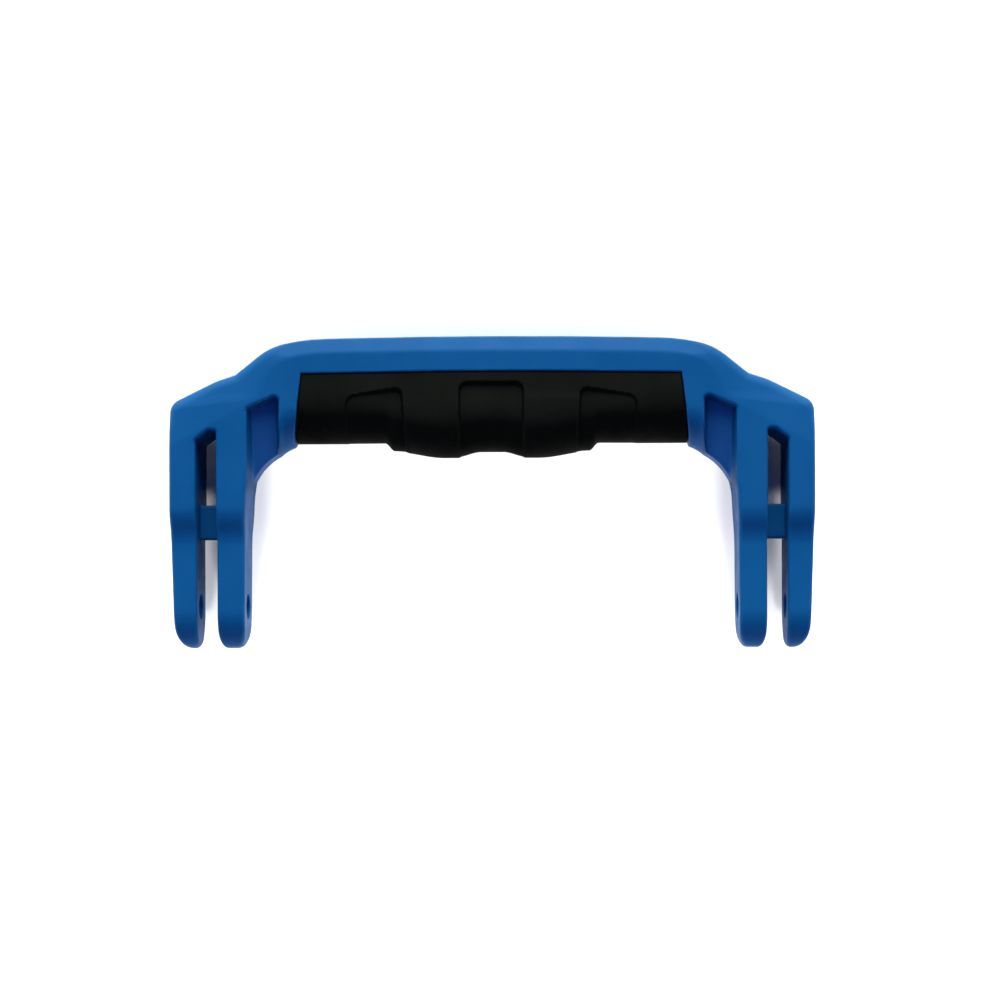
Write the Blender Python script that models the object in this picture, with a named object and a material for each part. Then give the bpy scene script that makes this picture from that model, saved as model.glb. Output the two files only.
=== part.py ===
"""Carry handle of a hard protective case: a moulded U frame with a soft overmoulded grip.

Metres, +Z up. The handle lies on its flat back. +X runs along the grip, +Y runs from the
hinge ears to the grip, and the origin is under the middle of the handle's box.
"""
import math

import bmesh
import bpy
from mathutils import Matrix, Vector

# Overall sizes
HALF_WIDTH = 0.1000
HEIGHT = 0.0970
DEPTH = 0.0240
MID_Z = DEPTH / 2
GAP = 0.0003                     # clearance between touching pieces

# Spine and shoulders
RAIL_BOTTOM_MID = 0.0860
RAIL_BOTTOM_END = 0.0854
CROWN_RADIUS = 2.0               # the top is very slightly arched
CORNER_RADIUS = 0.0045
TOP_EDGE_ROUND = 0.0042
SIDE_EDGE_ROUND = 0.0016
SLOT_EDGE_ROUND = 0.0010

# Forked legs
EAR_OUTER_X = 0.0990
EAR_INNER_X = 0.0769
SLOT_OUTER_X = 0.09175
SLOT_INNER_X = 0.0854
SLOT_TOP_Y = 0.0679
EAR_DEPTH = 0.0184
EAR_TIP_LENGTH = 0.0122          # length of the rounded end of an ear
EAR_STEP_LOW_Y = 0.0352
EAR_STEP_HIGH_Y = 0.0415
EAR_STEP_ROUND = 0.0140
WEB_LOW_Y = 0.0344
WEB_HIGH_Y = 0.0452
WEB_DEPTH = 0.0050
BORE_RADIUS = 0.0040
BORE_Y = 0.0134

# Pocket between leg and grip, front and back, open towards the arch
POCKET_CORNER = (0.0759, 0.0748)
POCKET_DEPTH = 0.0028            # at its upper outer corner
POCKET_TILT = 0.27               # how steeply its floor falls towards the arch
POCKET_FALL = (0.6, 0.8)         # direction of that fall: towards the middle, towards the ears

# Grip
GRIP_TOP_X = 0.0589
GRIP_BOTTOM_X = 0.0617
GRIP_END_Y = 0.0636              # where the frame's arch meets the end of the grip
GRIP_LOW_Y = 0.0645              # underside of the grip away from its palm swells
GRIP_DEPTH = 0.0232
GRIP_FLAT_Y = 0.0765             # the front of the grip is flat above this height
SWELL_DROP = 0.0045              # how far the palm swells reach below the rest of the grip
SWELL_STEP = 0.0025              # part of that drop which is one short step
NOTCH_RISE = 0.0016              # height of the notch between the two swells

# Beam inside the grip, with holes that the rubber flows through
CORE_HALF_LENGTH = 0.0640
CORE_LOW_Y = 0.0695
CORE_HIGH_Y = 0.0890
CORE_DEPTH = 0.0100
LOCK_HOLE_RADIUS = 0.0035
LOCK_HOLE_Y = 0.0775
LOCK_HOLE_X = (-0.048, -0.024, 0.0, 0.024, 0.048)

ARC_STEP = math.radians(12)
EDGE_SEGMENTS = 4
THROUGH = 0.0040                 # how far a cutter runs past what it cuts
TIP_SPARE = 0.0003               # extra length that the rounded ear tips are cut from


def clear_scene():
    for thing in list(bpy.data.objects):
        bpy.data.objects.remove(thing, do_unlink=True)


def make_collection(name):
    collection = bpy.data.collections.new(name)
    bpy.context.scene.collection.children.link(collection)
    return collection


def plastic(name, color, roughness):
    material = bpy.data.materials.new(name)
    material.use_nodes = True
    shader = material.node_tree.nodes["Principled BSDF"]
    shader.inputs["Base Color"].default_value = (*color, 1.0)
    shader.inputs["Roughness"].default_value = roughness
    shader.inputs["Metallic"].default_value = 0.0
    return material


def fillet(before, corner, after, radius):
    """Points of the arc that rounds one corner of an outline."""
    if radius <= 0:
        return [corner]
    into = (before - corner).normalized()
    out = (after - corner).normalized()
    half_angle = into.angle(out) / 2
    tangent = radius / math.tan(half_angle)
    centre = corner + (into + out).normalized() * radius / math.sin(half_angle)
    start = corner + into * tangent - centre
    turn = start.angle_signed(corner + out * tangent - centre)
    steps = max(2, math.ceil(abs(turn) / ARC_STEP))
    return [centre + Matrix.Rotation(-turn * i / steps, 2) @ start for i in range(steps + 1)]


def rounded(corners):
    """Closed outline from corners given as (x, y, radius)."""
    spots = [Vector(corner[:2]) for corner in corners]
    points = []
    for i, (_, _, radius) in enumerate(corners):
        points += fillet(spots[i - 1], spots[i], spots[(i + 1) % len(spots)], radius)
    return points


def mirrored(corners):
    """Whole outline from its right half, whose first and last corners lie on the middle line."""
    return corners + [(-x, y, radius) for x, y, radius in reversed(corners[1:-1])]


def flip(corners, side):
    return [(side * x, y, radius) for x, y, radius in corners]


def add_object(name, mesh, collection):
    thing = bpy.data.objects.new(name, mesh)
    collection.objects.link(thing)
    return thing


def prism(name, outline, low, high, collection, along="Z"):
    """Extrude a flat outline from low to high. Along X, the outline's x and y are Y and Z."""
    curve = bpy.data.curves.new(name, "CURVE")
    curve.dimensions = "2D"
    curve.fill_mode = "BOTH"
    curve.extrude = (high - low) / 2
    spline = curve.splines.new("POLY")
    spline.points.add(len(outline) - 1)
    for point, spot in zip(spline.points, outline):
        point.co = (spot[0], spot[1], 0, 1)
    spline.use_cyclic_u = True
    drawn = add_object(name + "_outline", curve, collection)
    drawn.location.z = (low + high) / 2
    if along == "X":
        turn = Matrix(((0, 0, 1, 0), (1, 0, 0, 0), (0, 1, 0, 0), (0, 0, 0, 1)))
        drawn.matrix_world = turn @ Matrix.Translation((0, 0, (low + high) / 2))
    bpy.context.view_layer.update()
    graph = bpy.context.evaluated_depsgraph_get()
    mesh = bpy.data.meshes.new_from_object(drawn.evaluated_get(graph))
    shape = bmesh.new()
    shape.from_mesh(mesh)
    bmesh.ops.remove_doubles(shape, verts=shape.verts, dist=0.000001)
    bmesh.ops.recalc_face_normals(shape, faces=shape.faces)
    shape.to_mesh(mesh)
    shape.free()
    thing = add_object(name, mesh, collection)
    thing.matrix_world = drawn.matrix_world
    bpy.data.objects.remove(drawn, do_unlink=True)
    return thing


def block(name, low, high, collection):
    bpy.ops.mesh.primitive_cube_add(size=1)
    thing = bpy.context.object
    thing.name = name
    size = Vector(high) - Vector(low)
    thing.data.transform(Matrix.Diagonal((*size, 1)))
    thing.location = (Vector(high) + Vector(low)) / 2
    move_to(thing, collection)
    return thing


def rod(name, radius, length, location, along, collection, sides=32):
    bpy.ops.mesh.primitive_cylinder_add(radius=radius, depth=length, vertices=sides)
    thing = bpy.context.object
    thing.name = name
    thing.location = location
    if along == "X":
        thing.rotation_euler.y = math.pi / 2
    move_to(thing, collection)
    return thing


def move_to(thing, collection):
    for owner in list(thing.users_collection):
        owner.objects.unlink(thing)
    collection.objects.link(thing)


def combine(target, other, operation):
    """Cut other out of target, or join it on, and keep it as a hidden tool."""
    modifier = target.modifiers.new(other.name, "BOOLEAN")
    modifier.operation = operation
    modifier.solver = "EXACT"
    modifier.object = other
    other.hide_render = True
    other.display_type = "WIRE"


def frame_corners():
    """Right half of the frame's outline, from the middle of its top to the rail above the grip."""
    return [
        (0.0, HEIGHT, 0.0),
        (0.0220, HEIGHT, CROWN_RADIUS),
        (0.0580, HEIGHT - 0.00075, 0.0600),
        (0.0689, HEIGHT - 0.00315, 0.0210),
        (0.0797, 0.0853, 0.0),
        (0.0856, 0.0834, 0.0150),
        (HALF_WIDTH, 0.0764, CORNER_RADIUS),
        (HALF_WIDTH, EAR_STEP_HIGH_Y, 0.1500),
        (EAR_OUTER_X, -TIP_SPARE, 0.0047),
        (SLOT_OUTER_X, -TIP_SPARE, 0.0024),
        (SLOT_OUTER_X, 0.0649, 0.0012),
        (0.0877, SLOT_TOP_Y, 0.0012),
        (SLOT_INNER_X, SLOT_TOP_Y, 0.0008),
        (SLOT_INNER_X, -TIP_SPARE, 0.0028),
        (EAR_INNER_X, -TIP_SPARE, 0.0040),
        (0.0767, 0.0360, 0.2000),
        (0.0760, 0.0505, 0.0120),
        (0.0709, 0.0587, 0.0180),
        (GRIP_BOTTOM_X, GRIP_END_Y, 0.0),
        (GRIP_TOP_X, RAIL_BOTTOM_END, 0.0),
        (0.0, RAIL_BOTTOM_MID, 0.0),
    ]


def edge_round(spot):
    """Radius of the rounded front and back edge at a spot on the frame's outline."""
    x, y = abs(spot.x), spot.y
    in_slot = SLOT_INNER_X - 0.0002 < x < SLOT_OUTER_X + 0.0002 and y < SLOT_TOP_Y + 0.0002
    in_seat = x < GRIP_BOTTOM_X + 0.0002 and y < RAIL_BOTTOM_MID + 0.0002
    if in_seat:
        return 0.0
    if in_slot:
        return SLOT_EDGE_ROUND
    fade = min(max((y - 0.0750) / (0.0910 - 0.0750), 0.0), 1.0)
    return SIDE_EDGE_ROUND + (TOP_EDGE_ROUND - SIDE_EDGE_ROUND) * fade


def inward(points, i):
    """Direction into the outline at point i, long enough to keep an even offset at a corner."""
    before, spot, after = points[i - 1], points[i], points[(i + 1) % len(points)]
    first = (spot - before).normalized()
    second = (after - spot).normalized()
    normal_one = Vector((first.y, -first.x))
    normal_two = Vector((second.y, -second.x))
    middle = (normal_one + normal_two).normalized()
    return middle / max(middle.dot(normal_one), 0.5)


def rounded_plate(name, outline, collection):
    """Plate whose front and back edges are rounded by a radius that changes along the outline.

    The Bevel modifier keeps one radius, so the rings of the rounding are lofted here."""
    angles = [math.pi / 2 * i / EDGE_SEGMENTS for i in range(EDGE_SEGMENTS + 1)]
    directions = [inward(outline, i) for i in range(len(outline))]
    shape = bmesh.new()
    rings = []
    for angle in reversed(angles):
        rings.append([])
        for spot, direction in zip(outline, directions):
            radius = edge_round(spot)
            level = spot + direction * radius * (1 - math.cos(angle))
            rings[-1].append((level.x, level.y, radius * (1 - math.sin(angle))))
    rings += [[(x, y, DEPTH - z) for x, y, z in ring] for ring in reversed(rings)]
    loops = [[shape.verts.new(spot) for spot in ring] for ring in rings]
    for low, high in zip(loops, loops[1:]):
        for i in range(len(low)):
            j = (i + 1) % len(low)
            shape.faces.new((low[i], low[j], high[j], high[i]))
    shape.faces.new(loops[0])
    shape.faces.new(loops[-1])
    bmesh.ops.remove_doubles(shape, verts=shape.verts, dist=0.000001)
    bmesh.ops.recalc_face_normals(shape, faces=shape.faces)
    mesh = bpy.data.meshes.new(name)
    shape.to_mesh(mesh)
    shape.free()
    return add_object(name, mesh, collection)


def ear_side_corners():
    """Side view of what is taken off round the ears: both faces and the rounded tip."""
    face_z = MID_Z + EAR_DEPTH / 2
    high_y = EAR_STEP_HIGH_Y + THROUGH
    front = [(-THROUGH, DEPTH + THROUGH, 0.0), (high_y, DEPTH + THROUGH, 0.0),
             (high_y, DEPTH + 0.00005, 0.0), (EAR_STEP_HIGH_Y, DEPTH, EAR_STEP_ROUND),
             (EAR_STEP_LOW_Y, face_z, EAR_STEP_ROUND)]
    steps = 8
    for i in range(steps + 1):
        angle = math.pi / 2 * i / steps
        y = EAR_TIP_LENGTH * (1 - math.sin(angle))
        front.append((y, MID_Z + EAR_DEPTH / 2 * math.cos(angle), 0.0))
    back = [(y, DEPTH - z, radius) for y, z, radius in reversed(front[:-1])]
    return front + back


def pocket_corners():
    """The pocket runs out past the edge of the arch, so it has no wall there."""
    past_arch_y = 0.0460
    return [(0.0657, 0.0792, 0.0015), (*POCKET_CORNER, 0.0012), (0.0759, past_arch_y, 0.0),
            (0.0657, past_arch_y, 0.0)]


def pocket_floor_depth(x, y):
    """Depth of the slanted floor below the face, at a place in the pocket."""
    corner_x, corner_y = POCKET_CORNER
    towards_arch = POCKET_FALL[0] * (corner_x - abs(x)) + POCKET_FALL[1] * (corner_y - y)
    return POCKET_DEPTH + POCKET_TILT * towards_arch


def cut_pockets(frame, tools):
    for side, side_name in ((-1, "left"), (1, "right")):
        outline = rounded(flip(pocket_corners(), side))
        levels = (("front", MID_Z, DEPTH + THROUGH, 1), ("back", -THROUGH, MID_Z, -1))
        for face_name, low, high, outward in levels:
            pocket = prism(f"pocket_{side_name}_{face_name}", outline, low, high, tools)
            for vertex in pocket.data.vertices:
                on_mid_plane = vertex.co.z * outward < 0
                if on_mid_plane:
                    depth = pocket_floor_depth(vertex.co.x, vertex.co.y)
                    vertex.co.z += outward * (DEPTH / 2 - depth)
            combine(frame, pocket, "DIFFERENCE")


def core_beam(name, tools, clearance, hole_radius):
    """Beam inside the grip. With a clearance it is the space that the rubber leaves for it."""
    half_depth = CORE_DEPTH / 2 + clearance
    beam = block(name,
                 (-CORE_HALF_LENGTH, CORE_LOW_Y - clearance, MID_Z - half_depth),
                 (CORE_HALF_LENGTH, CORE_HIGH_Y, MID_Z + half_depth), tools)
    for i, x in enumerate(LOCK_HOLE_X):
        hole = rod(f"{name}_hole_{i + 1}", hole_radius, DEPTH + THROUGH,
                   (x, LOCK_HOLE_Y, MID_Z), "Z", tools, sides=20)
        combine(beam, hole, "DIFFERENCE")
    return beam


def make_frame(parts, tools, material):
    frame = rounded_plate("handle_frame", rounded(mirrored(frame_corners())), parts)
    ears = prism("ear_sides", rounded(ear_side_corners()),
                 -HALF_WIDTH - THROUGH, HALF_WIDTH + THROUGH, tools, along="X")
    combine(frame, ears, "DIFFERENCE")
    cut_pockets(frame, tools)
    combine(frame, core_beam("core_beam", tools, 0.0, LOCK_HOLE_RADIUS), "UNION")
    overlap = 0.0010
    for side, side_name in ((-1, "left"), (1, "right")):
        walls = sorted((side * (SLOT_INNER_X - overlap), side * (SLOT_OUTER_X + overlap)))
        web = block(f"web_{side_name}", (walls[0], WEB_LOW_Y, MID_Z - WEB_DEPTH / 2),
                    (walls[1], WEB_HIGH_Y, MID_Z + WEB_DEPTH / 2), tools)
        combine(frame, web, "UNION")
        middle = side * (SLOT_INNER_X + SLOT_OUTER_X) / 2
        bore = rod(f"pin_bore_{side_name}", BORE_RADIUS, 0.0400, (middle, BORE_Y, MID_Z), "X", tools)
        combine(frame, bore, "DIFFERENCE")
    frame.data.materials.clear()
    frame.data.materials.append(material)
    return frame


def ramp(value, start, end):
    """0 before start, 1 after end, and a smooth step between."""
    part = min(max((value - start) / (end - start), 0.0), 1.0)
    return part * part * (3 - 2 * part)


def grip_bottom(x):
    """Height of the underside of the grip: a step down to two palm swells, a notch between."""
    x = abs(x)
    step = SWELL_STEP * ramp(x, 0.0335, 0.0296)
    slope = (SWELL_DROP - SWELL_STEP) * ramp(x, 0.0310, 0.0150)
    notch = NOTCH_RISE * ramp(x, 0.0110, 0.0035)
    return GRIP_LOW_Y - step - slope + notch


def panel(x):
    """Top height and depth of the recessed finger panel at a place along the grip."""
    x = abs(x)
    centre_edge, side_edge, side_end = 0.0098, 0.0270, 0.0450
    half_wall = 0.0004
    if x < (centre_edge + side_edge) / 2:
        return 0.0826, 0.0011 * ramp(x, centre_edge + half_wall, centre_edge - half_wall)
    slant = min(max((x - side_edge) / (side_end - side_edge), 0.0), 1.0)
    inner_wall = ramp(x, side_edge - half_wall, side_edge + half_wall)
    outer_wall = ramp(x, side_end, side_end - 0.0010)
    return 0.0812 - 0.0030 * slant, (0.0012 - 0.0008 * slant) * inner_wall * outer_wall


def grip_section(x):
    """One closed section of the grip across X, from the front of its top round to the back."""
    bottom = grip_bottom(x)
    top = RAIL_BOTTOM_MID + (RAIL_BOTTOM_END - RAIL_BOTTOM_MID) * abs(x) / GRIP_TOP_X - GAP
    panel_top, panel_depth = panel(x)
    half = GRIP_DEPTH / 2
    front = [(top, half), (panel_top + 0.0004, half), (panel_top - 0.0004, half - panel_depth)]
    steps = 9
    for i in range(steps + 1):
        angle = math.pi / 2 * i / steps
        y = GRIP_FLAT_Y - (GRIP_FLAT_Y - bottom) * math.sin(angle)
        z = (half - panel_depth) * math.cos(angle) ** 0.8 if i < steps else 0.0
        front.append((y, z))
    back = [(y, -z) for y, z in reversed(front[:-1])]
    end_lean = (GRIP_BOTTOM_X - GRIP_TOP_X) * ramp(abs(x), 0.0500, GRIP_TOP_X - GAP)
    points = []
    for y, z in front + back:
        lean = end_lean * (RAIL_BOTTOM_END - y) / (RAIL_BOTTOM_END - GRIP_END_Y)
        points.append(Vector((x + math.copysign(lean, x), y, MID_Z + z)))
    return points


def grip_stations():
    """Places along the grip: even steps, and pairs at the upright edges of the panels."""
    half = [0.0, 0.0030, 0.0065, 0.0094, 0.0102, 0.0135, 0.0175, 0.0220, 0.0266, 0.0274, 0.0295,
            0.0315, 0.0335, 0.0385, 0.0440, 0.0450, 0.0500, 0.0545, GRIP_TOP_X - GAP]
    return [-x for x in reversed(half[1:])] + half


def make_grip(parts, tools, material):
    """Loft through the sections, then leave room for the beam inside."""
    shape = bmesh.new()
    rings = [[shape.verts.new(point) for point in grip_section(x)] for x in grip_stations()]
    count = len(rings[0])
    for ring, following in zip(rings, rings[1:]):
        for i in range(count):
            j = (i + 1) % count
            shape.faces.new((ring[i], ring[j], following[j], following[i]))
    shape.faces.new(rings[0])
    shape.faces.new(rings[-1])
    bmesh.ops.recalc_face_normals(shape, faces=shape.faces)
    mesh = bpy.data.meshes.new("grip_overmould")
    shape.to_mesh(mesh)
    shape.free()
    grip = add_object("grip_overmould", mesh, parts)
    space = core_beam("core_space", tools, GAP, LOCK_HOLE_RADIUS - GAP)
    combine(grip, space, "DIFFERENCE")
    mesh.shade_smooth()
    mesh.set_sharp_from_angle(angle=math.radians(35))
    mesh.materials.append(material)
    return grip


def centre_on_origin(parts, tools):
    """Everything above is measured from the ear tips. Move it so that its middle is at Y = 0."""
    centre = bpy.data.objects.new("handle_centre", None)
    parts.objects.link(centre)
    centre.location.y = -HEIGHT / 2
    for thing in [*parts.objects, *tools.objects]:
        if thing is not centre:
            thing.parent = centre


def main():
    clear_scene()
    parts = make_collection("case_carry_handle")
    tools = make_collection("cutters")
    make_frame(parts, tools, plastic("frame_plastic", (0.006, 0.098, 0.292), 0.5))
    make_grip(parts, tools, plastic("grip_rubber", (0.008, 0.009, 0.008), 0.7))
    centre_on_origin(parts, tools)


main()
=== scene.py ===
"""Looks of a hard case's carry handle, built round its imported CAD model.

Both pieces are drawn as distance fields in millimetres, measured from the ear tips (y), the
middle of the handle (x) and its mid-depth (z). A field is negative inside the piece and close to
the distance from its surface, so that every edge and inside corner can have a moulded fillet.
The fields are then meshed.
"""
import math

import bpy
import numpy as np
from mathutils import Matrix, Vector


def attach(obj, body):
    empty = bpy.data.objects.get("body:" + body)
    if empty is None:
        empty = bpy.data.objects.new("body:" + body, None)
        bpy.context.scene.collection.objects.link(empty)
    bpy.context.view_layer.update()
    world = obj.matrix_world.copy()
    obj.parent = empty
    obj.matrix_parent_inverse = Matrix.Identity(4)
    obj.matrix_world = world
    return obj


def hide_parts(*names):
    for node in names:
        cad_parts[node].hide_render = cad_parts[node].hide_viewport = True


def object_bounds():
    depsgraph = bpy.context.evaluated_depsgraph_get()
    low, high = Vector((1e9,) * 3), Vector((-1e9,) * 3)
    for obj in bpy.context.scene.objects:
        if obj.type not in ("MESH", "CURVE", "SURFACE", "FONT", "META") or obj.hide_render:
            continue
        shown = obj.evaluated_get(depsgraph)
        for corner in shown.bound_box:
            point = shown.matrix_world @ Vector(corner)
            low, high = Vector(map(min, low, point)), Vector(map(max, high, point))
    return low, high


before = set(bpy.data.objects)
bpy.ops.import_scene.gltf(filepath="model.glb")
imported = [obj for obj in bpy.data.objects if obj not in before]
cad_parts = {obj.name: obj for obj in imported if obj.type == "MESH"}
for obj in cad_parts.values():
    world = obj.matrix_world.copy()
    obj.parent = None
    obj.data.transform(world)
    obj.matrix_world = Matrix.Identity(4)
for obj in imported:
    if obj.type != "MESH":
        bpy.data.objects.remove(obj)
cad_low, cad_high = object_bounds()

MM = 0.001

# Overall sizes, from the CAD model
HALF_WIDTH = cad_high.x / MM
HEIGHT = (cad_high.y - cad_low.y) / MM
HALF_DEPTH = (cad_high.z - cad_low.z) / 2 / MM
CENTRE = Vector((0.0, cad_low.y, (cad_low.z + cad_high.z) / 2))

# Rail and shoulders
RAIL_BOTTOM_MID = 86.0
RAIL_BOTTOM_END = 85.4
TOP_ROUND = 3.0
SIDE_ROUND = 1.6
SEAT_LOW_Y = 53.0
SEAT_EDGE_ROUND = 0.45
BEVEL_WIDTH = 4.7                # of the slanted band along the rail
BEVEL_NARROWING = 2.0            # how much narrower the band is on the shoulders
BEVEL_TILT = math.radians(20)
BEVEL_FLATTENING = 0.65          # share of the tilt that is gone on the shoulders
BEVEL_ROUND = 0.2                # of the edge between the band and the front
BEVEL_ROUND_GAIN = 1.3           # how much rounder that edge is on the shoulders
CREASE_X = 92.2
CREASE_Y = 67.1
CREASE_FALL = 0.535              # how far the crease falls for each mm outwards
CREASE_ACROSS = 0.88             # distance from the crease for each mm of height above it
CREASE_BLUR = 0.1                # how softly the two parts of the front meet, in mm squared
FACET_SLOPE = 0.080              # how steeply the front falls back above the crease

# Forked ears
EAR_HALF_DEPTH = 9.2
EAR_TIP_LENGTH = 12.2
EAR_EDGE_ROUND = 1.2
STEP_LOW_Y = 35.2
STEP_HIGH_Y = 41.5
STEP_ROUND = 14.0
EAR_OUTER_X = 99.0
EAR_INNER_X = 76.9
SLOT_OUTER_X = 91.75
SLOT_INNER_X = 85.4
SLOT_TOP_Y = 67.9
SLOT_EDGE_ROUND = 1.1
WEB_LOW_Y = 34.4
WEB_HIGH_Y = 45.2
WEB_HALF_DEPTH = 2.5
WEB_HALF_LENGTH = 5.0            # it ends inside the prongs
WEB_EDGE_ROUND = 0.7
WEB_FILLET = 0.8
BORE_RADIUS = 4.0
BORE_Y = 13.4
BORE_START_X = 70.0
BORE_EDGE_ROUND = 0.35

# Pockets between the legs and the grip, open towards the arch
POCKET_INNER_X = 65.7
POCKET_OUTER_X = 75.9
POCKET_INNER_TOP = 79.2
POCKET_OUTER_TOP = 74.8
POCKET_LOW_Y = 46.0
POCKET_FLOOR = 9.2               # height above the mid-plane, at the upper outer corner
POCKET_TILT = 0.27               # how steeply the floor falls from there towards the arch
POCKET_FALL_X = 0.6              # direction of that fall, inwards and down
POCKET_FALL_Y = 0.8
POCKET_FLOOR_SCALE = 0.965       # distance from the slanted floor for each mm of height
POCKET_DRAFT = 0.22
POCKET_EDGE_ROUND = 0.8
POCKET_FLOOR_ROUND = 0.6

# Grip
GRIP_TOP_X = 58.9
GRIP_BOTTOM_X = 61.7
GRIP_END_Y = 63.6
GRIP_LOW_Y = 64.5
GRIP_HALF_DEPTH = 11.6
GRIP_FLAT_Y = 77.5               # above it the front is flat
GRIP_FLAT_RISE = 4.5             # how much higher that is at the ends
GRIP_SECTION_POWER = 2.15        # 2 would make the underside's section an ellipse
GRIP_EDGE_ROUND = 0.5
GRIP_END_ROUND = 11.9            # of the frame where it meets the ends of the grip
SWELL_DROP = 4.5
SWELL_STEP = 2.5
SWELL_STEP_X = (33.6, 30.6)      # where the step down starts and ends
SWELL_SLOPE_X = (31.0, 15.0)
NOTCH_RISE = 1.6
NOTCH_X = (11.0, 3.5)
GAP = 0.2

# Recessed finger panels
PANEL_HALF_WALL = 0.45           # half the width of the slope down into a panel
PANEL_FOOT_SHARE = 0.15          # share of the depth that is left at the grip's underside
PANEL_FOOT_HEIGHT = 7.0          # height over which the depth grows from that share
CENTRE_PANEL_HALF_WIDTH = 9.9
CENTRE_PANEL_TOP = 82.5
CENTRE_PANEL_DEPTH = 1.15
CENTRE_PANEL_ROUND = 2.6
SIDE_PANEL_INNER_X = 27.6
SIDE_PANEL_OUTER_X = 45.0
SIDE_PANEL_TOP = 81.1
SIDE_PANEL_DEPTH = 1.25
SIDE_PANEL_ROUND = 2.5
SIDE_PANEL_LEAN = 0.06           # of the inner side, outwards for each mm up
SIDE_PANEL_SLANT_X = 27.4        # from here outwards the top falls and the depth shrinks
SIDE_PANEL_FALL = 3.0
SIDE_PANEL_SHRINK = 0.8

# Beam inside the grip
CORE_END_X = 64.0
CORE_LOW_Y = 69.5
CORE_HIGH_Y = 89.0
CORE_HALF_DEPTH = 5.0
CORE_ROUND = 0.3
LOCK_HOLE_RADIUS = 3.5
LOCK_HOLE_Y = 77.5
LOCK_HOLE_X = (0.0, 24.0, 48.0)

# Meshing
VOXEL = 0.45
MARGIN = 2 * VOXEL               # of the grid round a piece
GRIP_GRID_LOW_Y = 56.0
ARC_STEP = math.radians(5)
PRONG_TIP_STEPS = 8
SIDE_TIP_STEPS = 16
PAST_MIDDLE = -20.0              # the half outlines run this far past the middle line
PAST_TOP = HEIGHT + 30.0         # and the side profile up to here
SETTLE_ROUNDS = 2
SETTLE_STEP = 0.05
FLATTEST_SLOPE = 0.05            # squared, so that no point is thrown far off
NORMAL_STEP = 0.06
BEND_REACH = 0.7
BEND_LIMIT = 4.0
FRAME_KEEP = 0.40                # share of the triangles that thinning out leaves
GRIP_KEEP = 0.45

# Colours, as linear RGB
BLUE_DARK = (0.0022, 0.0795, 0.2610)
BLUE_LIGHT = (0.0034, 0.0865, 0.2770)
BLUE_FIBRE = (0.0200, 0.1700, 0.4000)
BLUE_RUBBED = (0.0150, 0.1500, 0.3900)
# painted shade for the inside corners
BLUE_CORNER_SHADE = (0.0008, 0.0480, 0.1800)
# painted sheen for the pocket floors
BLUE_POCKET_FLOOR_SHEEN = (0.0110, 0.0880, 0.3100)
# painted shade for the pocket walls
BLUE_POCKET_WALL_SHADE = (0.0006, 0.0300, 0.1300)
BLACK_DARK = (0.0028, 0.0031, 0.0024)
BLACK_LIGHT = (0.0036, 0.0040, 0.0032)
# painted sheen on the grip where it faces the front or back
PAINTED_SHEEN_DARK = (0.0066, 0.0074, 0.0064)
PAINTED_SHEEN_LIGHT = (0.0086, 0.0094, 0.0083)
BLACK_DUST = (0.0300, 0.0310, 0.0295)
BLACK_POLISHED = (0.0110, 0.0118, 0.0112)
FLOOR_DARK = (0.86, 0.86, 0.86)
FLOOR_LIGHT = (0.88, 0.88, 0.885)

# Light tent: heights are sines of the angle above the horizon
TENT_FADE_START = 0.28
TENT_FADE_END = 0.42
TENT_WALL = (0.66, 0.68, 0.70)
TENT_TOP = (0.110, 0.150, 0.345)

# Suns: angles in degrees, azimuth 0 at +Y and 90 at +X; the fills light only the floor
MAIN_AZIMUTHS = (-16.0, 0.0, 16.0)
MAIN_SUN = {"elevation": 25.0, "width": 38.0, "power": 2.10, "color": (1.0, 0.98, 0.81)}
FILL_COLOR = (1.0, 0.97, 0.90)
SIDE_FILL_AZIMUTHS = (110.0, 145.0, 215.0, 250.0)
SIDE_FILL = {"elevation": 38.0, "width": 50.0, "power": 0.8, "color": FILL_COLOR}
SLOT_FILL_AZIMUTHS = (171.0, 189.0)
SLOT_FILL = {"elevation": 32.0, "width": 8.0, "power": 2.4, "color": FILL_COLOR}
FLOOR_SIZE = 40.0

# Camera: lengths in metres
CAMERA_DISTANCE = 0.650          # above the front of the handle
CAMERA_STAND = Vector((0.0150, -0.0440))
CAMERA_AIM = Vector((0.00262, -0.00255))
CAMERA_ROLL = math.radians(-0.13)
VIEW_WIDTH = 0.3087              # that the picture covers, at the front of the handle
SENSOR_WIDTH = 36.0              # in mm, like the lens


# ---------------------------------------------------------------- outlines and fields

def fillet(before, corner, after, radius):
    """Points of the arc that rounds one corner of an outline."""
    if radius <= 0:
        return [corner]
    into = (before - corner).normalized()
    out = (after - corner).normalized()
    half_angle = into.angle(out) / 2
    tangent = radius / math.tan(half_angle)
    centre = corner + (into + out).normalized() * (radius / math.sin(half_angle))
    start = corner + into * tangent - centre
    end = corner + out * tangent - centre
    turn = start.angle_signed(end)
    steps = max(2, math.ceil(abs(turn) / ARC_STEP))
    points = []
    for i in range(steps + 1):
        angle = -turn * i / steps
        cosine, sine = math.cos(angle), math.sin(angle)
        points.append(centre + Vector((start.x * cosine - start.y * sine,
                                       start.x * sine + start.y * cosine)))
    return points


def rounded(corners):
    """Closed outline from corners given as (x, y, radius)."""
    spots = [Vector(corner[:2]) for corner in corners]
    points = []
    for i, (_, _, radius) in enumerate(corners):
        points += fillet(spots[i - 1], spots[i], spots[(i + 1) % len(spots)], radius)
    return points


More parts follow.
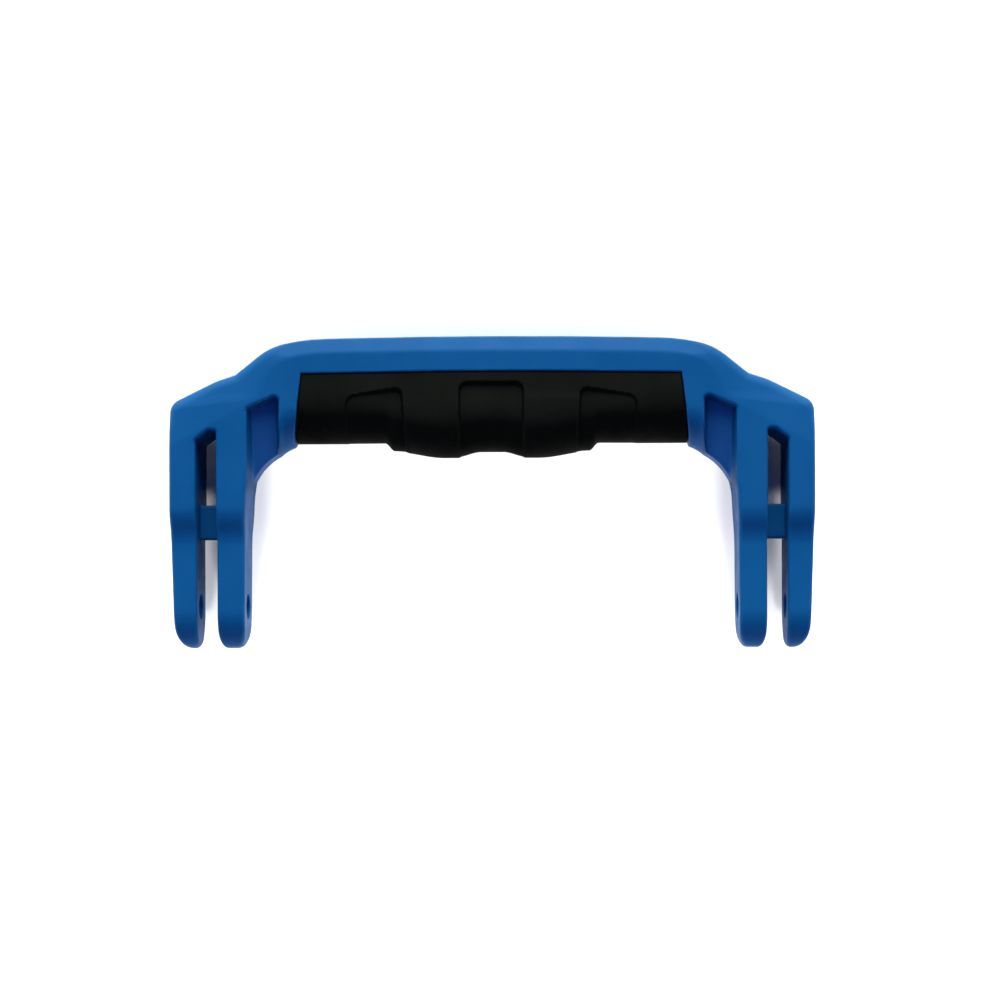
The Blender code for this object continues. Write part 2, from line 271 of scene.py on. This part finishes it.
def outline_field(points, x, y):
    """Signed distance to a closed outline, negative inside."""
    x, y = np.broadcast_arrays(x, y)
    nearest = np.full(x.shape, np.inf)
    inside = np.zeros(x.shape, bool)
    for a, b in zip(points, points[1:] + points[:1]):
        edge = b - a
        if edge.length_squared < 1e-12:
            continue
        from_x, from_y = x - a.x, y - a.y
        along = np.clip((from_x * edge.x + from_y * edge.y) / edge.length_squared, 0, 1)
        apart = (from_x - edge.x * along) ** 2 + (from_y - edge.y * along) ** 2
        nearest = np.minimum(nearest, apart)
        if a.y != b.y:
            crossed = ((a.y > y) != (b.y > y)) & (from_x < edge.x * from_y / edge.y)
            inside ^= crossed
    return np.where(inside, -1, 1) * np.sqrt(nearest)


def ramp(value, start, end):
    """0 before start, 1 after end, and a smooth step between."""
    part = np.clip((value - start) / (end - start), 0, 1)
    return part * part * (3 - 2 * part)


def blend(first, second, share):
    """The first value where the share is 0, and the second where it is 1."""
    return first + (second - first) * share


def both(a, b, radius):
    """What lies in a and in b, with the edge between them rounded."""
    corner = np.hypot(np.maximum(a + radius, 0), np.maximum(b + radius, 0))
    return np.minimum(-radius, np.maximum(a, b)) + corner


def either(a, b, radius):
    """What lies in a or in b, with a fillet in the inside corner between them."""
    corner = np.hypot(np.maximum(radius - a, 0), np.maximum(radius - b, 0))
    return np.maximum(radius, np.minimum(a, b)) - corner


def box_field(x, y, z, low, high):
    middle = [(a + b) / 2 for a, b in zip(low, high)]
    half = [(b - a) / 2 for a, b in zip(low, high)]
    return np.maximum(np.maximum(np.abs(x - middle[0]) - half[0], np.abs(y - middle[1]) - half[1]),
                      np.abs(z - middle[2]) - half[2])


# ---------------------------------------------------------------- frame

def prong_tip(outer, inner):
    """Rounded end of one prong, from its outer to its inner side.

    Each side is (x, reach across, reach along) and ends in a quarter ellipse of that reach.
    """
    (outer_x, outer_across, outer_along), (inner_x, inner_across, inner_along) = outer, inner
    angles = [math.pi / 2 * i / PRONG_TIP_STEPS for i in range(PRONG_TIP_STEPS + 1)]
    corners = [(outer_x - outer_across * (1 - math.cos(angle)),
                outer_along * (1 - math.sin(angle)), 0.0) for angle in angles]
    corners += [(inner_x + inner_across * (1 - math.sin(angle)),
                 inner_along * (1 - math.cos(angle)), 0.0) for angle in angles]
    return corners


FRAME_OUTLINE = rounded([
    (PAST_MIDDLE, HEIGHT, 0.0),
    (22.0, HEIGHT, 2000.0),
    (58.0, HEIGHT - 0.75, 60.0),
    (68.9, HEIGHT - 3.15, 21.0),
    (79.7, 85.3, 1.5),
    (85.6, 83.4, 15.0),
    (HALF_WIDTH, 76.4, 4.5),
    (HALF_WIDTH, STEP_HIGH_Y, 150.0),
    *prong_tip((EAR_OUTER_X, 4.9, 8.0), (SLOT_OUTER_X, 1.6, 3.2)),
    (SLOT_OUTER_X, 64.9, 1.5),
    (87.7, SLOT_TOP_Y, 1.5),
    (SLOT_INNER_X, SLOT_TOP_Y, 1.0),
    *prong_tip((SLOT_INNER_X, 2.4, 6.0), (EAR_INNER_X, 3.0, 7.0)),
    (76.7, 36.0, 200.0),
    (76.0, 50.5, 12.0),
    (70.9, 58.7, 18.0),
    (GRIP_BOTTOM_X, GRIP_END_Y, 8.0),
    (PAST_MIDDLE, GRIP_END_Y, 0.0),
])

SEAT_OUTLINE = rounded([
    (PAST_MIDDLE, RAIL_BOTTOM_MID, 0.0),
    (14.0, RAIL_BOTTOM_MID, 1600.0),
    (GRIP_TOP_X, RAIL_BOTTOM_END, 0.3),
    (GRIP_BOTTOM_X, GRIP_END_Y, 0.0),
    (GRIP_BOTTOM_X + 1.3, SEAT_LOW_Y, 0.0),
    (PAST_MIDDLE, SEAT_LOW_Y, 0.0),
])

POCKET_OUTLINE = rounded([
    (POCKET_INNER_X, POCKET_INNER_TOP, 1.6),
    (POCKET_OUTER_X, POCKET_OUTER_TOP, 1.3),
    (POCKET_OUTER_X, POCKET_LOW_Y, 0.0),
    (POCKET_INNER_X, POCKET_LOW_Y, 0.0),
])


def side_profile():
    """Outline in y and z: rounded ear tip, thin ear, slope up to the full depth of the leg."""
    front = []
    for i in range(1, SIDE_TIP_STEPS + 1):
        angle = math.pi / 2 * i / SIDE_TIP_STEPS
        front.append((EAR_TIP_LENGTH * (1 - math.cos(angle)), EAR_HALF_DEPTH * math.sin(angle), 0.0))
    front += [(STEP_LOW_Y, EAR_HALF_DEPTH, STEP_ROUND), (STEP_HIGH_Y, HALF_DEPTH, STEP_ROUND),
              (PAST_TOP, HALF_DEPTH, 0.0)]
    back = [(y, -z, radius) for y, z, radius in reversed(front)]
    return rounded([(0.0, 0.0, 0.0)] + front + back)


SIDE_PROFILE = side_profile()


def edge_radius(x, y):
    """Radius of the frame's front and back edges at a place on its outline."""
    on_shoulder = ramp(y, 66.0, 76.0)
    above_ear = ramp(y, 30.0, 44.0)
    round_slot = ramp(x, 82.0, 84.0) * ramp(x, 96.0, 94.0) * ramp(y, 72.0, 69.5)
    beside_grip = ramp(x, 71.0, 64.0) * ramp(y, 80.0, 75.0)
    radius = blend(SIDE_ROUND, TOP_ROUND, on_shoulder)
    radius = blend(EAR_EDGE_ROUND, radius, above_ear)
    radius = blend(radius, SLOT_EDGE_ROUND, round_slot)
    return blend(radius, GRIP_END_ROUND, beside_grip)


def top_bevel(outline, profile, x, y):
    """The rail's bevel: crisp along the rail, softer down the shoulder, gone at the leg."""
    out_of_reach = 3.0           # a band that starts this far outside the outline cuts nothing
    on_slope = ramp(x, 62.0, 76.0)
    width = BEVEL_WIDTH - BEVEL_NARROWING * on_slope
    width = (width + out_of_reach) * ramp(y, 71.0, 80.0) - out_of_reach
    softness = BEVEL_ROUND + BEVEL_ROUND_GAIN * on_slope * ramp(y, 72.0, 80.0)
    tilt = BEVEL_TILT * (1 - BEVEL_FLATTENING * on_slope)
    return profile * np.cos(tilt) + (outline + width) * np.sin(tilt), softness


def shoulder_facet(x, y):
    """The front falls back a little above a crease that runs parallel to the shoulder."""
    above = (y - CREASE_Y + CREASE_FALL * (x - CREASE_X)) * CREASE_ACROSS
    softly_above = 0.5 * (above + np.sqrt(above ** 2 + CREASE_BLUR))
    return FACET_SLOPE * softly_above * ramp(x, 66.0, 80.0)


def pocket_mark(x, y, z):
    """1 on the floor of a pocket, -1 on its walls and 0 elsewhere; the frame's material paints a sheen
    on the floor and shade on the walls by it.
    """
    x, z = np.abs(x), np.abs(z)
    inside = -outline_field(POCKET_OUTLINE, x, y)
    sunk = HALF_DEPTH - z
    floor = ramp(inside, 0.9, 1.6) * ramp(sunk, 1.2, 2.2)
    wall = ramp(inside, -0.2, 0.3) * ramp(inside, 1.6, 0.9) * ramp(sunk, 0.3, 1.0)
    return floor - wall


def frame_field(x, y, z):
    x, z = np.abs(x), np.abs(z)
    outline = outline_field(FRAME_OUTLINE, x, y)
    profile = outline_field(SIDE_PROFILE, y, z) + shoulder_facet(x, y)
    body = both(outline, profile, edge_radius(x, y))
    body = both(body, *top_bevel(outline, profile, x, y))

    pocket = outline_field(POCKET_OUTLINE, x, y) + (HALF_DEPTH - z) * POCKET_DRAFT
    towards_arch = POCKET_FALL_X * (POCKET_OUTER_X - x) + POCKET_FALL_Y * (POCKET_OUTER_TOP - y)
    floor = POCKET_FLOOR - POCKET_TILT * towards_arch
    pocket = both(pocket, (floor - z) * POCKET_FLOOR_SCALE, POCKET_FLOOR_ROUND)
    body = both(body, -pocket, POCKET_EDGE_ROUND)

    seat = outline_field(SEAT_OUTLINE, x, y)
    body = both(body, -seat, SEAT_EDGE_ROUND)

    beam = box_field(x, y, z, (-CORE_END_X, CORE_LOW_Y, -CORE_HALF_DEPTH),
                     (CORE_END_X, CORE_HIGH_Y, CORE_HALF_DEPTH))
    for hole_x in LOCK_HOLE_X:
        hole = np.hypot(x - hole_x, y - LOCK_HOLE_Y) - LOCK_HOLE_RADIUS
        beam = both(beam, -hole, CORE_ROUND)
    body = either(body, beam, CORE_ROUND)

    web_y = np.abs(y - (WEB_LOW_Y + WEB_HIGH_Y) / 2) - (WEB_HIGH_Y - WEB_LOW_Y) / 2
    web = both(web_y, z - WEB_HALF_DEPTH, WEB_EDGE_ROUND)
    web = np.maximum(web, np.abs(x - (SLOT_INNER_X + SLOT_OUTER_X) / 2) - WEB_HALF_LENGTH)
    body = either(body, web, WEB_FILLET)

    bore = np.hypot(y - BORE_Y, z) - BORE_RADIUS
    bore = np.maximum(bore, BORE_START_X - x)
    return both(body, -bore, BORE_EDGE_ROUND)


# ---------------------------------------------------------------- grip

def grip_bottom(x):
    """Height of the underside of the grip: a step down to two palm swells, a notch between."""
    step = SWELL_STEP * ramp(x, *SWELL_STEP_X)
    slope = (SWELL_DROP - SWELL_STEP) * ramp(x, *SWELL_SLOPE_X)
    notch = NOTCH_RISE * ramp(x, *NOTCH_X)
    return GRIP_LOW_Y - step - slope + notch


def panel_depth(x, y):
    """How far the recessed finger panels lie under the rest of the grip."""
    share = blend(PANEL_FOOT_SHARE, 1.0, ramp(y - grip_bottom(x), 0.0, PANEL_FOOT_HEIGHT))
    outside = both(x - CENTRE_PANEL_HALF_WIDTH, y - CENTRE_PANEL_TOP, CENTRE_PANEL_ROUND)
    centre = CENTRE_PANEL_DEPTH * ramp(outside, PANEL_HALF_WALL, -PANEL_HALF_WALL) * share

    lean = SIDE_PANEL_LEAN * (GRIP_FLAT_Y - y)
    slant = np.clip((x - SIDE_PANEL_SLANT_X) / (SIDE_PANEL_OUTER_X - SIDE_PANEL_SLANT_X), 0, 1)
    beside = np.maximum(SIDE_PANEL_INNER_X - lean - x, x - SIDE_PANEL_OUTER_X)
    above = y - (SIDE_PANEL_TOP - SIDE_PANEL_FALL * slant)
    outside = both(beside, above, SIDE_PANEL_ROUND)
    depth = SIDE_PANEL_DEPTH - SIDE_PANEL_SHRINK * slant
    side = depth * ramp(outside, PANEL_HALF_WALL, -PANEL_HALF_WALL) * share
    return np.maximum(centre, side)


def grip_field(x, y, z):
    x, z = np.abs(x), np.abs(z)
    flat_y = GRIP_FLAT_Y + GRIP_FLAT_RISE * ramp(x, 30.0, 58.0)
    reach = flat_y - grip_bottom(x)
    low = np.clip((flat_y - y) / reach, 0, None)
    power = GRIP_SECTION_POWER
    shape = (low ** power + (z / GRIP_HALF_DEPTH) ** power) ** (1 / power)
    body = (shape - 1) * GRIP_HALF_DEPTH + panel_depth(x, y)
    end = outline_field(SEAT_OUTLINE, x, y) + GAP
    body = both(body, end, GRIP_EDGE_ROUND)
    space = box_field(x, y, z, (-CORE_END_X, CORE_LOW_Y - GAP, -CORE_HALF_DEPTH - GAP),
                      (CORE_END_X, CORE_HIGH_Y, CORE_HALF_DEPTH + GAP))
    for hole_x in LOCK_HOLE_X:
        plug = np.hypot(x - hole_x, y - LOCK_HOLE_Y) - (LOCK_HOLE_RADIUS - GAP)
        space = both(space, -plug, CORE_ROUND)
    return both(body, -space, CORE_ROUND)


# ---------------------------------------------------------------- meshing

def grid_axis(low, high):
    count = math.ceil((high - low) / VOXEL) + 1
    return low + VOXEL * np.arange(count)


def surface_net(field, low):
    """One vertex in each cell that the surface crosses, one square for each crossed grid line."""
    inside = field < 0
    cell_shape = tuple(n - 1 for n in field.shape)
    filled = np.zeros(cell_shape, np.int8)
    for i in (0, 1):
        for j in (0, 1):
            for k in (0, 1):
                filled += inside[i:i + cell_shape[0], j:j + cell_shape[1], k:k + cell_shape[2]]
    crossed = (filled > 0) & (filled < 8)
    cells = np.argwhere(crossed)
    number = np.full(cell_shape, -1, np.int64)
    number[crossed] = np.arange(len(cells))

    total = np.zeros((len(cells), 3))
    hits = np.zeros(len(cells))
    unit = np.eye(3, dtype=int)
    for axis in range(3):
        second, third = (axis + 1) % 3, (axis + 2) % 3
        for i in (0, 1):
            for j in (0, 1):
                offset = unit[second] * i + unit[third] * j
                start = cells + offset
                end = start + unit[axis]
                a = field[tuple(start.T)]
                b = field[tuple(end.T)]
                hit = (a < 0) != (b < 0)
                part = np.where(hit, a / np.where(hit, a - b, 1), 0)
                total += hit[:, None] * (offset + part[:, None] * unit[axis])
                hits += hit
    points = np.array(low) + VOXEL * (cells + total / hits[:, None])

    squares = []
    for axis in range(3):
        second, third = (axis + 1) % 3, (axis + 2) % 3
        before = np.take(inside, range(field.shape[axis] - 1), axis)
        after = np.take(inside, range(1, field.shape[axis]), axis)
        lines = np.argwhere(before != after)
        leaving = before[tuple(lines.T)]
        corners = [lines, lines - unit[second], lines - unit[second] - unit[third],
                   lines - unit[third]]
        square = np.stack([number[tuple(corner.T)] for corner in corners], 1)
        square[~leaving] = square[~leaving][:, ::-1]
        squares.append(square)
    return points, np.concatenate(squares)


def slopes(function, points, step):
    """Gradient of a field at each point."""
    parts = []
    for axis in range(3):
        shift = np.zeros(3)
        shift[axis] = step
        ahead = function(*(points + shift).T)
        behind = function(*(points - shift).T)
        parts.append((ahead - behind) / (2 * step))
    return np.stack(parts, 1)


def settle(function, points):
    """Move points along the field's slope onto its surface, by half a voxel a round at most."""
    for _ in range(SETTLE_ROUNDS):
        value = function(*points.T)
        slope = slopes(function, points, SETTLE_STEP)
        squared = np.maximum((slope ** 2).sum(1), FLATTEST_SLOPE)
        shift = slope * (value / squared)[:, None]
        reach = np.linalg.norm(shift, axis=1, keepdims=True)
        points = points - shift * np.minimum(1, 0.5 * VOXEL / np.maximum(reach, 1e-9))
    return points


def bend(function, points):
    """Rough curvature at each point: above 0 on outer edges, below 0 in inside corners."""
    total = -6 * function(*points.T)
    for axis in range(3):
        for way in (-1, 1):
            shift = np.zeros(3)
            shift[axis] = way * BEND_REACH
            total += function(*(points + shift).T)
    return np.clip(total / BEND_REACH ** 2, -BEND_LIMIT, BEND_LIMIT)


def make_mesh(name, points, faces):
    mesh = bpy.data.meshes.new(name)
    mesh.from_pydata(points.tolist(), [], faces.tolist())
    mesh.update()
    return mesh


def thin_out(piece, keep):
    """Replace a piece's mesh by one with fewer triangles where it is flat."""
    full = piece.data
    thin = piece.modifiers.new("thin", "DECIMATE")
    thin.ratio = keep
    bpy.context.view_layer.update()
    graph = bpy.context.evaluated_depsgraph_get()
    piece.data = bpy.data.meshes.new_from_object(piece.evaluated_get(graph))
    piece.modifiers.clear()
    bpy.data.meshes.remove(full)


def add_mark(mesh, name, values):
    """One number for each vertex, which a material can read."""
    mark = mesh.attributes.new(name, "FLOAT", "POINT")
    mark.data.foreach_set("value", values.astype(np.float32))


def make_piece(name, function, low, high, keep):
    """Mesh a field, thin the mesh out where it is flat, and put it in its place."""
    axes = [grid_axis(a, b) for a, b in zip(low, high)]
    grid = function(axes[0][:, None, None], axes[1][None, :, None], axes[2][None, None, :])
    points, squares = surface_net(grid, low)
    piece = bpy.data.objects.new(name, make_mesh(name, settle(function, points), squares))
    bpy.context.scene.collection.objects.link(piece)
    thin_out(piece, keep)

    mesh = piece.data
    mesh.name = name
    flat = np.zeros(len(mesh.vertices) * 3)
    mesh.vertices.foreach_get("co", flat)
    points = settle(function, flat.reshape(-1, 3))
    normals = slopes(function, points, NORMAL_STEP)
    normals /= np.linalg.norm(normals, axis=1, keepdims=True)
    add_mark(mesh, "edge", bend(function, points))
    add_mark(mesh, "pocket", pocket_mark(*points.T))
    placed = points * MM + np.array(CENTRE)
    mesh.vertices.foreach_set("co", placed.ravel())
    mesh.shade_smooth()
    mesh.normals_split_custom_set_from_vertices(normals.tolist())
    mesh.update()
    return piece


# ---------------------------------------------------------------- materials

def new_material(name):
    material = bpy.data.materials.new(name)
    material.use_nodes = True
    nodes = material.node_tree.nodes
    nodes.clear()
    output = nodes.new("ShaderNodeOutputMaterial")
    shader = nodes.new("ShaderNodeBsdfPrincipled")
    material.node_tree.links.new(shader.outputs["BSDF"], output.inputs["Surface"])
    return material, shader


class Wiring:
    """Short calls for adding and linking nodes in one material; scales are per metre."""

    def __init__(self, material):
        self.tree = material.node_tree
        coordinates = self.tree.nodes.new("ShaderNodeTexCoord")
        self.place = coordinates.outputs["Object"]
        self.surface = coordinates.outputs["Normal"]

    def link(self, source, target):
        self.tree.links.new(source, target)

    def feed(self, socket, value):
        if isinstance(value, bpy.types.NodeSocket):
            self.link(value, socket)
        else:
            socket.default_value = value

    def noise(self, scale, detail=2.0, roughness=0.5):
        node = self.tree.nodes.new("ShaderNodeTexNoise")
        node.inputs["Scale"].default_value = scale
        node.inputs["Detail"].default_value = detail
        node.inputs["Roughness"].default_value = roughness
        self.link(self.place, node.inputs["Vector"])
        return node.outputs["Fac"]

    def cells(self, scale):
        node = self.tree.nodes.new("ShaderNodeTexVoronoi")
        node.inputs["Scale"].default_value = scale
        self.link(self.place, node.inputs["Vector"])
        return node.outputs["Distance"]

    def math(self, operation, first, second=0.0, third=None):
        node = self.tree.nodes.new("ShaderNodeMath")
        node.operation = operation
        self.feed(node.inputs[0], first)
        self.feed(node.inputs[1], second)
        if third is not None:
            self.feed(node.inputs[2], third)
        return node.outputs[0]

    def spread(self, value, source, target=(0.0, 1.0)):
        """Carry a value over from one range to another, with a smooth start and end."""
        node = self.tree.nodes.new("ShaderNodeMapRange")
        node.interpolation_type = "SMOOTHSTEP"
        for name, number in zip(("From Min", "From Max", "To Min", "To Max"), source + target):
            node.inputs[name].default_value = number
        self.feed(node.inputs["Value"], value)
        return node.outputs["Result"]

    def mix(self, factor, first, second):
        node = self.tree.nodes.new("ShaderNodeMix")
        node.data_type = "RGBA"
        self.feed(node.inputs["Factor"], factor)
        for socket, color in ((node.inputs[6], first), (node.inputs[7], second)):
            self.feed(socket, (*color, 1.0) if isinstance(color, tuple) else color)
        return node.outputs[2]

    def attribute(self, name):
        node = self.tree.nodes.new("ShaderNodeAttribute")
        node.attribute_name = name
        return node.outputs["Fac"]

    def part(self, vector, axis):
        node = self.tree.nodes.new("ShaderNodeSeparateXYZ")
        self.link(vector, node.inputs[0])
        return node.outputs[axis]

    def bump(self, height, distance, strength, below=None):
        node = self.tree.nodes.new("ShaderNodeBump")
        node.inputs["Distance"].default_value = distance
        node.inputs["Strength"].default_value = strength
        self.link(height, node.inputs["Height"])
        if below is not None:
            self.link(below, node.inputs["Normal"])
        return node.outputs["Normal"]


def frame_plastic():
    """Mid-blue glass-filled plastic with a fine spark-eroded texture."""
    material, shader = new_material("frame_plastic")
    wire = Wiring(material)
    edge = wire.attribute("edge")
    pocket = wire.attribute("pocket")

    drift = wire.noise(scale=38.0, detail=3.0)
    color = wire.mix(wire.spread(drift, (0.35, 0.65)), BLUE_DARK, BLUE_LIGHT)
    fibres = wire.noise(scale=900.0, detail=4.0, roughness=0.7)
    color = wire.mix(wire.spread(fibres, (0.62, 0.80), (0.0, 0.22)), color, BLUE_FIBRE)
    scuffs = wire.noise(scale=260.0, detail=4.0, roughness=0.6)
    rubbed = wire.math("MULTIPLY", wire.spread(edge, (0.5, 2.4)),
                       wire.spread(scuffs, (0.42, 0.66), (0.0, 0.55)))
    color = wire.mix(rubbed, color, BLUE_RUBBED)
    # painted shade: inside corners darker, where less light reaches
    color = wire.mix(wire.spread(edge, (-0.35, -1.6), (0.0, 0.60)), color, BLUE_CORNER_SHADE)
    # painted sheen: pocket floors paler, as if catching a reflection of the light
    color = wire.mix(wire.spread(pocket, (0.0, 1.0)), color, BLUE_POCKET_FLOOR_SHEEN)
    # painted shade: pocket walls darker, as shade in a recess
    color = wire.mix(wire.spread(pocket, (0.0, -1.0), (0.0, 0.60)), color, BLUE_POCKET_WALL_SHADE)
    wire.link(color, shader.inputs["Base Color"])

    streaks = wire.noise(scale=120.0, detail=5.0, roughness=0.65)
    rough = wire.spread(streaks, (0.3, 0.7), (0.44, 0.56))
    smoother = wire.math("MULTIPLY", rubbed, -0.14)
    wire.link(wire.math("ADD", rough, smoother), shader.inputs["Roughness"])
    shader.inputs["Specular IOR Level"].default_value = 0.07

    grain = wire.math("MULTIPLY_ADD", wire.cells(scale=2600.0), 0.7, wire.noise(scale=4200.0))
    relief = wire.bump(grain, distance=0.00006, strength=0.35)
    ripple = wire.noise(scale=70.0, detail=1.0)
    relief = wire.bump(ripple, distance=0.0004, strength=0.18, below=relief)
    off_middle = wire.math("ABSOLUTE", wire.math("SUBTRACT", wire.part(wire.place, "Z"), CENTRE.z))
    parting_line = wire.spread(off_middle, (0.00008, 0.00022), (1.0, 0.0))
    relief = wire.bump(parting_line, distance=0.00012, strength=0.8, below=relief)
    wire.link(relief, shader.inputs["Normal"])
    return material


def grip_rubber():
    """Soft black elastomer with a dull skin, and a painted sheen that makes it paler where it lies
    flat.
    """
    material, shader = new_material("grip_rubber")
    wire = Wiring(material)
    cloud = wire.spread(wire.noise(scale=55.0, detail=4.0, roughness=0.6), (0.35, 0.7))
    bare = wire.mix(cloud, BLACK_DARK, BLACK_LIGHT)
    sheened = wire.mix(cloud, PAINTED_SHEEN_DARK, PAINTED_SHEEN_LIGHT)
    facing = wire.math("ABSOLUTE", wire.part(wire.surface, "Z"))
    # painted sheen: paler where the surface faces the front or back squarely
    color = wire.mix(wire.spread(facing, (0.93, 0.995)), bare, sheened)
    dust = wire.noise(scale=1500.0, detail=4.0, roughness=0.75)
    color = wire.mix(wire.spread(dust, (0.60, 0.78), (0.0, 0.10)), color, BLACK_DUST)
    polished = wire.spread(wire.attribute("edge"), (0.6, 2.5), (0.0, 0.5))
    wire.link(wire.mix(polished, color, BLACK_POLISHED), shader.inputs["Base Color"])

    patches = wire.noise(scale=90.0, detail=5.0, roughness=0.6)
    wire.link(wire.spread(patches, (0.3, 0.7), (0.58, 0.76)), shader.inputs["Roughness"])
    shader.inputs["Specular IOR Level"].default_value = 0.02

    pores = wire.noise(scale=3300.0, detail=3.0)
    grain = wire.math("MULTIPLY_ADD", wire.cells(scale=1700.0), 0.8, pores)
    wire.link(wire.bump(grain, distance=0.00009, strength=0.4), shader.inputs["Normal"])
    return material


def floor_paint():
    material, shader = new_material("pale_floor")
    wire = Wiring(material)
    wire.link(wire.mix(wire.noise(scale=3.0), FLOOR_DARK, FLOOR_LIGHT), shader.inputs["Base Color"])
    shader.inputs["Roughness"].default_value = 0.8
    return material


# ---------------------------------------------------------------- stage, light and camera

def make_floor():
    bpy.ops.mesh.primitive_plane_add(size=FLOOR_SIZE, location=(0, 0, cad_low.z))
    floor = bpy.context.object
    floor.name = "floor"
    floor.data.materials.append(floor_paint())
    return floor


def sun(name, azimuth, elevation, width, power, color):
    """A broad soft light from far away, whose width is an angle."""
    light = bpy.data.lights.new(name, "SUN")
    light.angle = math.radians(width)
    light.energy = power
    light.color = color
    holder = bpy.data.objects.new(name, light)
    bpy.context.scene.collection.objects.link(holder)
    turn, lift = math.radians(azimuth), math.radians(elevation)
    source = Vector((math.sin(turn) * math.cos(lift), math.cos(turn) * math.cos(lift), math.sin(lift)))
    holder.location = source
    holder.rotation_euler = source.to_track_quat("Z", "Y").to_euler()
    return holder


def make_world():
    """A light tent: pale walls, and a dim blue roof that the camera looks in through."""
    world = bpy.data.worlds.new("studio")
    world.use_nodes = True
    nodes, links = world.node_tree.nodes, world.node_tree.links
    background = nodes["Background"]
    direction = nodes.new("ShaderNodeTexCoord").outputs["Generated"]
    split = nodes.new("ShaderNodeSeparateXYZ")
    links.new(direction, split.inputs[0])
    fade = nodes.new("ShaderNodeMapRange")
    fade.interpolation_type = "SMOOTHSTEP"
    fade.inputs["From Min"].default_value = TENT_FADE_START
    fade.inputs["From Max"].default_value = TENT_FADE_END
    links.new(split.outputs["Z"], fade.inputs["Value"])
    color = nodes.new("ShaderNodeMix")
    color.data_type = "RGBA"
    links.new(fade.outputs["Result"], color.inputs["Factor"])
    color.inputs[6].default_value = (*TENT_WALL, 1.0)
    color.inputs[7].default_value = (*TENT_TOP, 1.0)
    links.new(color.outputs[2], background.inputs["Color"])
    bpy.context.scene.world = world


def make_light(floor):
    make_world()
    for azimuth in MAIN_AZIMUTHS:
        sun("window", azimuth, **MAIN_SUN)
    only_floor = bpy.data.collections.new("lit_by_floor_fill")
    only_floor.objects.link(floor)
    for azimuths, settings in ((SIDE_FILL_AZIMUTHS, SIDE_FILL), (SLOT_FILL_AZIMUTHS, SLOT_FILL)):
        for azimuth in azimuths:
            fill = sun("floor_fill", azimuth, **settings)
            fill.light_linking.receiver_collection = only_floor


def make_camera():
    """Looks down from near the right ear tips, turned and with its lens shifted to the middle."""
    camera = bpy.data.cameras.new("camera")
    camera.sensor_width = SENSOR_WIDTH
    camera.lens = SENSOR_WIDTH * CAMERA_DISTANCE / VIEW_WIDTH
    camera.shift_y = (CAMERA_AIM.y - CAMERA_STAND.y) / VIEW_WIDTH
    holder = bpy.data.objects.new("camera", camera)
    bpy.context.scene.collection.objects.link(holder)
    holder.location = (*CAMERA_STAND, cad_high.z + CAMERA_DISTANCE)
    turn = math.atan((CAMERA_STAND.x - CAMERA_AIM.x) / CAMERA_DISTANCE)
    holder.rotation_euler = (0.0, turn, CAMERA_ROLL)
    bpy.context.scene.camera = holder
    bpy.context.scene.view_settings.view_transform = "Standard"


def dress(piece, node, material):
    piece.data.materials.append(material)
    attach(piece, "root")
    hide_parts(node)


frame_piece = make_piece("handle_frame_visual", frame_field,
                         (-HALF_WIDTH - MARGIN, -MARGIN, -HALF_DEPTH - MARGIN),
                         (HALF_WIDTH + MARGIN, HEIGHT + MARGIN, HALF_DEPTH + MARGIN), FRAME_KEEP)
dress(frame_piece, "handle_frame", frame_plastic())

grip_piece = make_piece("grip_overmould_visual", grip_field,
                        (-CORE_END_X - MARGIN, GRIP_GRID_LOW_Y, -HALF_DEPTH - MARGIN),
                        (CORE_END_X + MARGIN, RAIL_BOTTOM_MID + MARGIN, HALF_DEPTH + MARGIN), GRIP_KEEP)
dress(grip_piece, "grip_overmould", grip_rubber())

make_light(make_floor())
make_camera()
